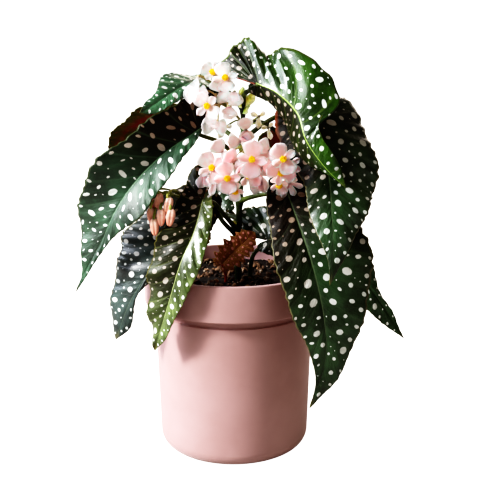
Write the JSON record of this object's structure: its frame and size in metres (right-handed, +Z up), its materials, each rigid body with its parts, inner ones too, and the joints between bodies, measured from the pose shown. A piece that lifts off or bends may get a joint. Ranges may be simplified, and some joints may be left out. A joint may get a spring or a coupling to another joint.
{
  "type": "potted begonia",
  "caption": "Flowering angel-wing begonia with large dark, white-spotted pointed leaves and pink flower sprays, growing in soil in a straight matte pot with an overhanging rim.",
  "frame": {"origin": "centre of the pot's flat base, on the surface that it stands on", "axes": "+Z up along the pot's axis, -Y towards the side that the picture shows, +X to its right"},
  "size_m": [0.2857, 0.2219, 0.3657],
  "materials": {
    "blush_ceramic": "matte",
    "potting_soil": "matte",
    "green_stem": "satin",
    "spotted_leaf": "satin",
    "young_red_leaf": "satin",
    "pink_petal": "matte",
    "dried_petal": "matte",
    "yellow_stamen": "matte"
  },
  "bodies": {
    "root": {"cane": "green_stem", "leaf_back_left": "spotted_leaf", "leaf_back_low": "spotted_leaf", "leaf_back_right": "spotted_leaf", "leaf_big_left": "spotted_leaf", "leaf_front_left": "spotted_leaf", "leaf_front_right": "spotted_leaf", "leaf_inner": "spotted_leaf", "leaf_low_left": "spotted_leaf", "leaf_low_right": "spotted_leaf", "leaf_right": "spotted_leaf", "leaf_top": "spotted_leaf", "leaf_upper_left": "spotted_leaf", "petiole_low_right": "green_stem", "pot": "blush_ceramic", "soil": "potting_soil", "spray_buds": "pink_petal", "spray_dried": "dried_petal", "spray_main": "pink_petal", "spray_upper": "pink_petal", "stamens_a1": "yellow_stamen", "stamens_a2": "yellow_stamen", "stamens_a4": "yellow_stamen", "stamens_b2": "yellow_stamen", "stamens_b3": "yellow_stamen", "stamens_b4": "yellow_stamen", "stamens_b5": "yellow_stamen", "stamens_b6": "yellow_stamen", "stamens_b7": "yellow_stamen", "stamens_b8": "yellow_stamen", "stamens_b9": "yellow_stamen", "young_leaf": "young_red_leaf"}
  },
  "joints": []
}
